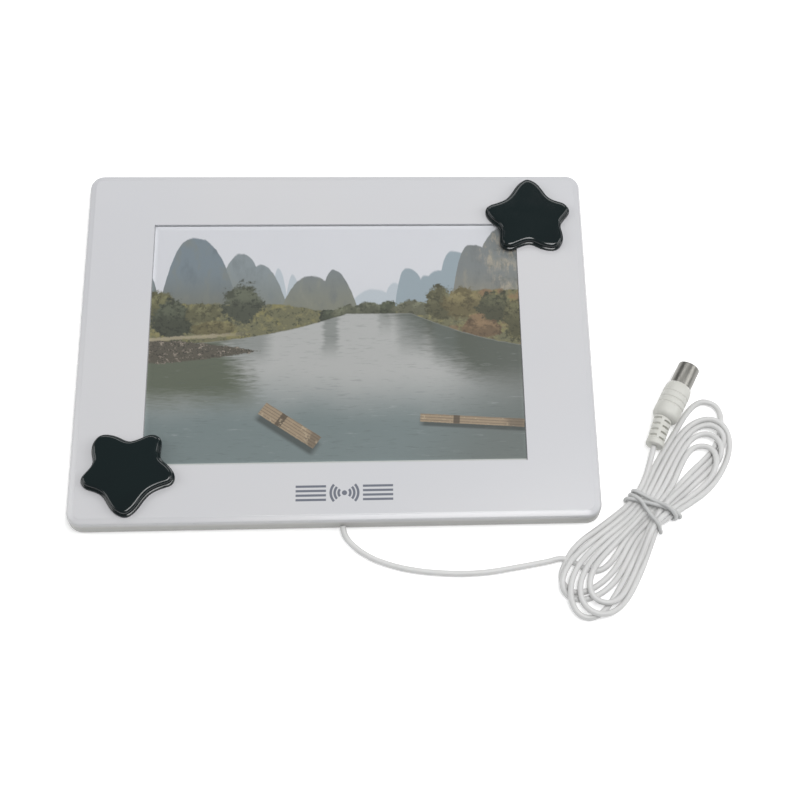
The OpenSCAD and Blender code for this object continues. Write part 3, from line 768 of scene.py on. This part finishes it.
class Landscape:
    """The picture on the print, painted on the surface s from the sky forwards."""

    def __init__(self, s):
        self.s = s
        self.x, self.y, _ = s.axes(middle("photo_print"))
        self.soft = s.noise(26, 3)
        self.clump = s.noise(170, 3, 0.6)
        self.leaf = s.noise(420, 4, 0.65)
        self.fine = s.noise(1100, 2, 0.6)
        self.edge = (s.noise(260, 4, 0.65) - 0.5) * 3.4
        self.right = ridge(self.x, (66, (11, 26), 41.5, 2.4), (82, (20, 30), 51, 2.2))

    def sky_and_far_hills(self):
        """Two ranges, the further one paler."""
        s, x, y = self.s, self.x, self.y
        s.paint(srgb(205, 206, 209), y.step(40, 18) * 0.5)
        far = ridge(x, (-28.6, (4, 6), 29, 2), (-21.8, (4, 7), 25.5, 1.8), (18, 16, 17),
                    (28, (7, 9), 20.5), (24, 26, 14))
        s.paint(srgb(184, 191, 196), (far + SHORE + self.edge * 0.4 - y).step(-0.7, 1.1))
        middle = ridge(x, (34.5, (7, 12), 28.5, 2.6), (44, 9, 24.5), (50, (12, 16), 27, 2.6),
                       (57, (9, 20), 38, 2.6))
        s.paint(srgb(150, 162, 168), (middle + SHORE + self.edge * 0.7 - y).step(-0.6, 0.8))

    def near_hills(self):
        s, x, y = self.s, self.x, self.y
        crag = s.noise(150, 4, 0.6, (1, 0.45, 1))
        left = ridge(x, (-70, (16.5, 24), 46, 2.5), (-92, 8, 27, 2.2))
        second = ridge(x, (-46.5, (14, 15), 37, 2.3), (-37, (14, 15), 31, 2))
        third = ridge(x, (-13, (16, 20), 24.5, 2.2), (-2, (8, 14), 28, 1.9))
        for shape, top, low in ((self.right, (124, 128, 127), (136, 132, 118)),
                                (second, (136, 144, 146), (126, 130, 124)),
                                (third, (122, 128, 129), (128, 129, 116)),
                                (left, (120, 131, 137), (116, 118, 110))):
            mask = (shape + SHORE + self.edge * 0.8 - y).step(-0.5, 0.6)
            s.paint(srgb(*top), mask)
            s.paint(srgb(*low), mask * y.step(42, 16))
            s.paint(tint(top, 0.88), mask * crag.step(0.5, 0.72) * 0.6)
            s.paint(tint(low, 1.1), mask * crag.step(0.48, 0.3) * 0.5)

    def cliff(self):
        """Bare rock at the right hill's foot."""
        s, x, y = self.s, self.x, self.y
        foot = (self.right + SHORE - y).step(0, 1) * (x - 74 + (y - 34) * 0.35).step(-3, 6)
        pale = s.noise(260, 5, 0.75, (1, 0.4, 1)).step(0.47, 0.66)
        s.paint(srgb(172, 162, 144), foot * pale * 0.75)
        s.paint(srgb(98, 100, 92), foot * s.noise(230, 4, 0.7).step(0.52, 0.7) * 0.5)

    def banks(self):
        """Strips of grass and bushes on both sides, rust-coloured in one place."""
        s, x, leaf = self.s, self.x, self.leaf
        top = ridge(x, (-60, 66, 9, 4), (26, (20, 34), 6.5, 3), (82, 40, 17, 3))
        rise = (self.soft - 0.5) * 9
        bank = (top + SHORE + rise * 0.5 + self.edge - self.y).step(-0.5, 0.6)
        s.paint(srgb(112, 110, 84), bank)
        s.paint(srgb(140, 132, 86), bank * self.clump.step(0.5, 0.62) * 0.6)
        s.paint(srgb(150, 142, 98), bank * leaf.step(0.54, 0.66) * 0.45)
        s.paint(srgb(74, 76, 60), bank * leaf.step(0.47, 0.36) * 0.8)
        rust = bank * x.step(40, 60) * s.noise(90, 3, 0.6).step(0.48, 0.6)
        s.paint(srgb(138, 108, 84), rust * 0.7)

    def tree(self, at, wide, tall, colour):
        s, leaf, clump = self.s, self.leaf, self.clump
        up = self.y - at[1]
        blob = (((self.x - at[0]) / wide) ** 2 + (up / tall) ** 2) ** 0.5
        mask = (blob + (leaf - 0.5) * 0.9 + (clump - 0.5) * 1.1).step(1.14, 0.88)
        sunny = clump.step(0.42, 0.6) * (up + (leaf - 0.5) * 9).step(-3, 6)
        s.paint(srgb(*colour), mask)
        s.paint(tint(colour, 1.4), mask * sunny * 0.8)
        s.paint(tint(colour, 0.72), mask * leaf.step(0.5, 0.38) * 0.7)

    def river(self):
        """Pale in the middle and dark under the banks, with reflections and ripples."""
        s, x, y, soft = self.s, self.x, self.y, self.soft
        brink = SHORE + 3.5 - hill(x, -92, 97, 16, 2.2) - hill(x, 96, 60, 18, 1.6)
        water = (brink + self.edge * 0.35 - y).step(-0.4, 0.5)
        ripple = s.noise(260, 3, 0.6, (0.35, 2.2, 1))
        wave = s.noise(520, 3, 0.6, (0.3, 2.4, 1))
        s.paint(srgb(176, 176, 173), water)
        s.paint(srgb(118, 129, 128), water * (y + (soft - 0.5) * 14).step(-12, -46))
        ragged = (ripple - 0.5) * 12 + (wave - 0.5) * 22
        from_left = (x + (y + 16) * 0.45 + ragged).step(-34, -54) * (y + ragged * 0.5).step(-40, -22)
        from_right = (x + (y + 6) * 1.05 + ragged).step(36, 62) * (y + ragged * 0.4).step(-32, -12)
        s.paint(srgb(84, 91, 72), water * from_left * 0.92)
        s.paint(srgb(76, 82, 70), water * from_right * 0.94)
        for middle, half, low, strength in REFLECTIONS:
            column = (abs(x - middle) + (ripple - 0.5) * 6).step(half, half * 0.4)
            s.paint(srgb(102, 108, 102), water * column * y.step(low, low + 14) * strength)
        s.paint(srgb(100, 104, 98), water * (x - y * 0.5).step(50, 110) * 0.65)
        s.paint(srgb(186, 189, 187), water * ripple.step(0.56, 0.74) * wave.step(0.5, 0.6) * 0.22)
        s.paint(srgb(74, 82, 80), water * wave.step(0.44, 0.3) * 0.2)

    def stony_shore(self):
        """A low spit on the left, with a path on it."""
        s, x, y, leaf = self.s, self.x, self.y, self.leaf
        spit = (hill(x, -92, 58, 13, 1.8) + (leaf - 0.5) * 6 - abs(y + 5) * 1.9 - 1.2).step(-0.6, 0.8)
        s.paint(srgb(90, 85, 74), spit)
        s.paint(srgb(160, 148, 134), spit * leaf.step(0.53, 0.66) * 0.8)
        s.paint(srgb(58, 55, 50), spit * self.fine.step(0.47, 0.34) * 0.7)
        path = (abs(y - 1.5 - (x + 88) * 0.06) + (leaf - 0.5) * 3).step(1.3, 0.4)
        s.paint(srgb(164, 154, 130), path * x.step(-38, -62) * 0.85)

    def raft(self, middle, turn, long, wide):
        """Bamboo poles side by side, a cross pole and a darker end, over a soft shadow."""
        s, leaf = self.s, self.leaf
        c, n = math.cos(math.radians(turn)), math.sin(math.radians(turn))
        x, y = self.x - middle[0], self.y - middle[1]
        u, v = x * c + y * n, y * c - x * n
        shadow = abs(u - 1).step(long + 2, long - 2) * abs(v + wide * 0.8).step(wide * 1.3, wide * 0.7)
        s.paint(srgb(58, 62, 58), shadow * 0.75)
        mask = abs(u).step(long, long - 0.6) * (abs(v) + (leaf - 0.5) * 0.8).step(wide, wide - 0.5)
        s.paint(srgb(158, 140, 116), mask)
        s.paint(srgb(108, 94, 78), mask * ((v * 4.4).sine() + (leaf - 0.5) * 2).step(0.1, 0.9) * 0.6)
        s.paint(srgb(80, 70, 58), mask * (abs(u + long * 0.3) - 1).step(0.8, 0.2) * 0.85)
        s.paint(srgb(92, 82, 70), mask * u.step(long * 0.55, long * 0.75) * 0.6)
        s.paint(srgb(196, 178, 150), mask * leaf.step(0.54, 0.66) * 0.5)

    def painted_edge_light(self):
        """A painted highlight line along the bottom edge, and painted light that brightens the sheet
        near its edges.
        """
        x, y = self.x, self.y
        # painted highlight: a pale line along the sheet's bottom edge
        self.s.paint(srgb(196, 196, 192), y.step(-62.3, -62.7) * 0.7)
        inside = (PRINT_HALVES[0] - abs(x)).low(PRINT_HALVES[1] - abs(y))
        # painted light: the sheet's colour made up to 30 % brighter within about 3 mm of its edges
        self.s.shade(inside.step(3.2, 0) ** 2 * 0.3 + 1)


def print_material():
    """The printed sheet, with a fine tooth."""
    s = Surface("river_print", srgb(212, 212, 215), 0.32, specular=0.4)
    view = Landscape(s)
    view.sky_and_far_hills()
    view.near_hills()
    view.cliff()
    view.banks()
    for tree in TREES:
        view.tree(*tree)
    view.river()
    view.stony_shore()
    for raft in RAFTS:
        view.raft(*raft)
    view.painted_edge_light()
    s.rough(view.fine.fit(0.28, 0.36))
    s.bump(view.fine, 0.01, 0.4)
    return s.material


SIGN_AT = (3.25, -78.8, 0)


def printed_sign(s, ink):
    """A plain sign for radio waves between fine rules, at the middle of the lower edge."""
    x, y, z = s.axes(SIGN_AT)
    far = (x ** 2 + y ** 2) ** 0.5
    mask = far.step(1.3, 1.1)
    for r in (2.7, 4.5, 6.3):
        ring = abs(far - r).step(0.68, 0.5)
        mask = mask.high(ring * (abs(x) - abs(y) * 1.15).step(0, 0.2))
    for half in (1.1, 3.3):
        rule = abs(abs(y) - half).step(0.66, 0.48)
        mask = mask.high(rule * abs(abs(x) - 15.4).step(7.1, 6.8))
    s.paint(ink, mask * z.step(9.5, 9.8))


PLATE_HALVES = halves("front_shell")
CORNER_R, EDGE_R = 7, 3
SLOPE_FROM, SLOPE_TO, SLOPE = 0.8, 3.4, 0.29    # from the outside inwards, and how steep it is


def edge_slope(x, y):
    """Height that makes an even slope of the rolled front edge, but for its outermost part."""
    over_x, over_y = abs(x) - (PLATE_HALVES[0] - CORNER_R), abs(y) - (PLATE_HALVES[1] - CORNER_R)
    corner = (over_x.high(0) ** 2 + over_y.high(0) ** 2) ** 0.5
    inside = (CORNER_R - corner - over_x.high(over_y).low(0)).high(SLOPE_FROM)
    roll = (EDGE_R - inside).high(0)
    fall = EDGE_R - (EDGE_R ** 2 - roll ** 2) ** 0.5
    return fall - (SLOPE_TO - inside).high(0) * SLOPE


def white_plastic():
    """Glossy moulded case front, its side duller and painted darker as shade towards the bottom, with
    a faint waviness of its mould.
    """
    s = Surface("gloss_white_case", FACE, 0.22, specular=0.5, coat=0.25, coat_rough=0.06)
    broad, small = s.noise(9, 2), s.noise(900, 2)
    x, y, z = s.axes()
    side = z.step(9.6, 6)
    s.paint(FACE_COOL, broad.step(0.35, 0.7) * 0.7)
    # painted shade: the side wall is coloured darker below the face, more so towards the bottom
    s.paint(PAINTED_SIDE_SHADE, side)
    printed_sign(s, srgb(112, 116, 126))
    s.rough((s.noise(60, 4, 0.6) * 0.5 + small * 0.5).fit(0.16, 0.3) + side * 0.25)
    s.bump(edge_slope(x, y) + (broad * 0.7 + small * 0.3) * 0.015, 1.0)
    return s.material


def moulded(name, colour, other, roughness, grain=1400, height=0.02, patch=40):
    """Plain moulded plastic: a slight change of tone, a fine grain and uneven gloss."""
    s = Surface(name, colour, roughness)
    fine = s.noise(grain, 3, 0.6)
    s.paint(other, s.noise(patch, 3).step(0.35, 0.68) * 0.8)
    s.rough(fine.fit(roughness - 0.08, roughness + 0.1))
    s.bump(fine, height, 0.6)
    return s.material


def metal(name, colour, other, roughness, stretch=(1, 1, 1), scale=900):
    """Plated metal with fine drawn lines and a little dullness in patches."""
    s = Surface(name, colour, roughness, metallic=1.0)
    lines = s.noise(scale, 3, 0.6, stretch)
    s.paint(other, s.noise(70, 3).step(0.4, 0.7) * 0.6)
    s.rough(lines.fit(roughness - 0.06, roughness + 0.1))
    s.bump(lines, 0.004, 0.5)
    return s.material


def star_plastic():
    """Very dark blue-green, high gloss, with a trace of dust and handling."""
    s = Surface("star_gloss", STAR_DARK, 0.1, specular=0.5)
    s.paint(STAR_DARK_2, s.noise(30, 3).step(0.35, 0.7))
    speck = s.noise(2600, 2, 0.4).step(0.74, 0.8)
    s.paint(srgb(70, 78, 80), speck * 0.25)
    s.rough(s.noise(120, 4, 0.65).fit(0.06, 0.17))
    s.bump(s.noise(140, 2), 0.02, 0.35)
    return s.material


def clear_plastic():
    """Clear flat cover: what is behind shows through, under a mirror that grows at a slant."""
    material = bpy.data.materials.new("clear_cover_acrylic")
    material.use_nodes = True
    tree = material.node_tree
    new, join = tree.nodes.new, tree.links.new
    tree.nodes.remove(tree.nodes["Principled BSDF"])
    through = new("ShaderNodeBsdfTransparent")
    through.inputs["Color"].default_value = (0.97, 0.975, 0.98, 1)
    gloss = new("ShaderNodeBsdfPrincipled")
    gloss.inputs["Base Color"].default_value = srgb(215, 216, 219)
    gloss.inputs["Specular IOR Level"].default_value = 0.5
    coord = new("ShaderNodeTexCoord")
    smear = new("ShaderNodeTexNoise")
    smear.inputs["Scale"].default_value = 45
    smear.inputs["Detail"].default_value = 5
    join(coord.outputs["Object"], smear.inputs["Vector"])
    wipe = Field(tree, smear.outputs[0])
    join(wipe.fit(0.03, 0.12).out, gloss.inputs["Roughness"])
    slant = new("ShaderNodeLayerWeight")
    slant.inputs["Blend"].default_value = 0.5
    haze = Field(tree, slant.outputs["Facing"]) ** 5 * 0.9 + wipe.fit(0.012, 0.036)
    mix = new("ShaderNodeMixShader")
    join(haze.out, mix.inputs[0])
    join(through.outputs[0], mix.inputs[1])
    join(gloss.outputs[0], mix.inputs[2])
    join(mix.outputs[0], tree.nodes["Material Output"].inputs["Surface"])
    return material


def circuit_board():
    """Green board with lighter tracks in rows."""
    s = Surface("green_board", srgb(38, 96, 56), 0.4)
    x, y, _ = s.axes()
    s.paint(srgb(52, 118, 70), (x * 2.2).sine().step(0.5, 0.8) * (y * 0.9).sine().step(-0.2, 0.2))
    s.rough(s.noise(1500, 3).fit(0.3, 0.45))
    return s.material


FACE = srgb(205, 205, 207)
FACE_COOL = srgb(202, 203, 207)
# painted shade: the darker colour of the case's side wall
PAINTED_SIDE_SHADE = srgb(160, 160, 156)
STAR_DARK = srgb(19, 30, 31)
STAR_DARK_2 = srgb(16, 25, 27)

MATERIALS = {
    "gloss_white": white_plastic(),
    "satin_white": moulded(
        "satin_white_back", srgb(208, 208, 210), srgb(203, 203, 206), 0.42, 1600, 0.03),
    "zinc_steel": metal("zinc_screws", (0.62, 0.63, 0.65, 1), (0.52, 0.53, 0.55, 1), 0.28),
    "dark_rubber": moulded("dark_rubber_feet", srgb(62, 62, 62), srgb(74, 74, 73), 0.7, 1800, 0.05),
    "print_paper": print_material(),
    "clear_acrylic": clear_plastic(),
    "star_plastic": star_plastic(),
    "magnet_nickel": metal("nickel_magnet", (0.6, 0.59, 0.57, 1), (0.5, 0.49, 0.47, 1), 0.2),
    "tinplate": metal(
        "tinplate_aerial", (0.62, 0.62, 0.6, 1), (0.5, 0.5, 0.49, 1), 0.3, (1, 6, 1)),
    "circuit_board": circuit_board(),
    "ferrite": moulded("sintered_ferrite", srgb(58, 58, 60), srgb(70, 69, 70), 0.65, 1300, 0.06),
    "ceramic_chip": moulded(
        "fired_ceramic", srgb(160, 134, 108), srgb(188, 170, 150), 0.4, 900, 0.01),
    "cord_jacket": moulded(
        "white_vinyl_cord", srgb(210, 210, 209), srgb(205, 205, 204), 0.4, 1100, 0.03, 60),
    "copper": metal("bare_copper", (0.7, 0.36, 0.22, 1), (0.6, 0.3, 0.18, 1), 0.3),
    "tie_plastic": moulded(
        "grey_tie_vinyl", srgb(196, 197, 196), srgb(186, 187, 187), 0.45, 900, 0.03, 160),
    "grip_plastic": moulded(
        "warm_grey_grip", srgb(206, 206, 200), srgb(200, 200, 193), 0.42, 1500, 0.025, 120),
    "plug_nickel": metal(
        "plug_nickel_plate", (0.27, 0.265, 0.245, 1), (0.23, 0.225, 0.21, 1), 0.34, (1, 1, 1), 500),
    "insulator_plastic": moulded(
        "natural_polyethylene", srgb(226, 226, 220), srgb(216, 216, 208), 0.5),
}
PIECE_SLOTS = {
    cord: "cord_jacket", tie: "tie_plastic", boot: "grip_plastic", grip: "grip_plastic",
    shell: "plug_nickel", star_top: "star_plastic", star_bottom: "star_plastic"}


def dress(obj, slot):
    """Gives obj the material of a slot in place of its own."""
    obj.data.materials.clear()
    obj.data.materials.append(MATERIALS[slot])


for piece, slot in PIECE_SLOTS.items():
    dress(piece, slot)
for part in frame["record"]["subparts"]:
    dress(nodes[part["node"]], part["material_slot"])


# ---------------------------------------------------------------- floor and light

def make_floor():
    """A wide pale sheet just under the feet, glowing a little so that it comes out near white."""
    mesh = bpy.data.meshes.new("floor")
    w = FLOOR_W / 2
    mesh.from_pydata([(-w, -w, 0), (w, -w, 0), (w, w, 0), (-w, w, 0)], [], [(0, 1, 2, 3)])
    floor = link(bpy.data.objects.new("floor", mesh))
    floor.location.z = -FLOOR_GAP
    s = Surface("pale_floor", srgb(250, 250, 250), 0.9, specular=0.0)
    s.shader.inputs["Emission Color"].default_value = (1, 1, 1, 1)
    s.shader.inputs["Emission Strength"].default_value = FLOOR_GLOW
    mesh.materials.append(s.material)


def area_light(name, at, size, power):
    """A rectangular lamp that faces the origin."""
    data = bpy.data.lights.new(name, "AREA")
    data.shape = "RECTANGLE"
    data.size, data.size_y = size
    data.energy = power
    lamp = link(bpy.data.objects.new(name, data))
    lamp.location = at
    lamp.rotation_euler = (-Vector(at)).to_track_quat("-Z", "Y").to_euler()


def make_world():
    """Faint even light from all round."""
    world = bpy.data.worlds.new("studio")
    scene.world = world
    world.use_nodes = True
    background = world.node_tree.nodes["Background"]
    background.inputs["Color"].default_value = (0.97, 0.98, 1.0, 1)
    background.inputs["Strength"].default_value = 0.16


FLOOR_W, FLOOR_GAP, FLOOR_GLOW = 6.0, 0.0002, 0.28
make_floor()
make_world()
area_light("window_left", (-1.5, 0.1, 1.0), (1.2, 1.0), 8.5)
area_light("window_right", (1.5, 0.0, 1.0), (1.2, 1.0), 10)
area_light("ceiling_panel", (0.27, -0.13, 1.5), (1.0, 0.55), 13)
area_light("window_back", (0.0, 1.3, 1.3), (1.6, 0.4), 6.5)
scene.view_settings.view_transform = "Standard"
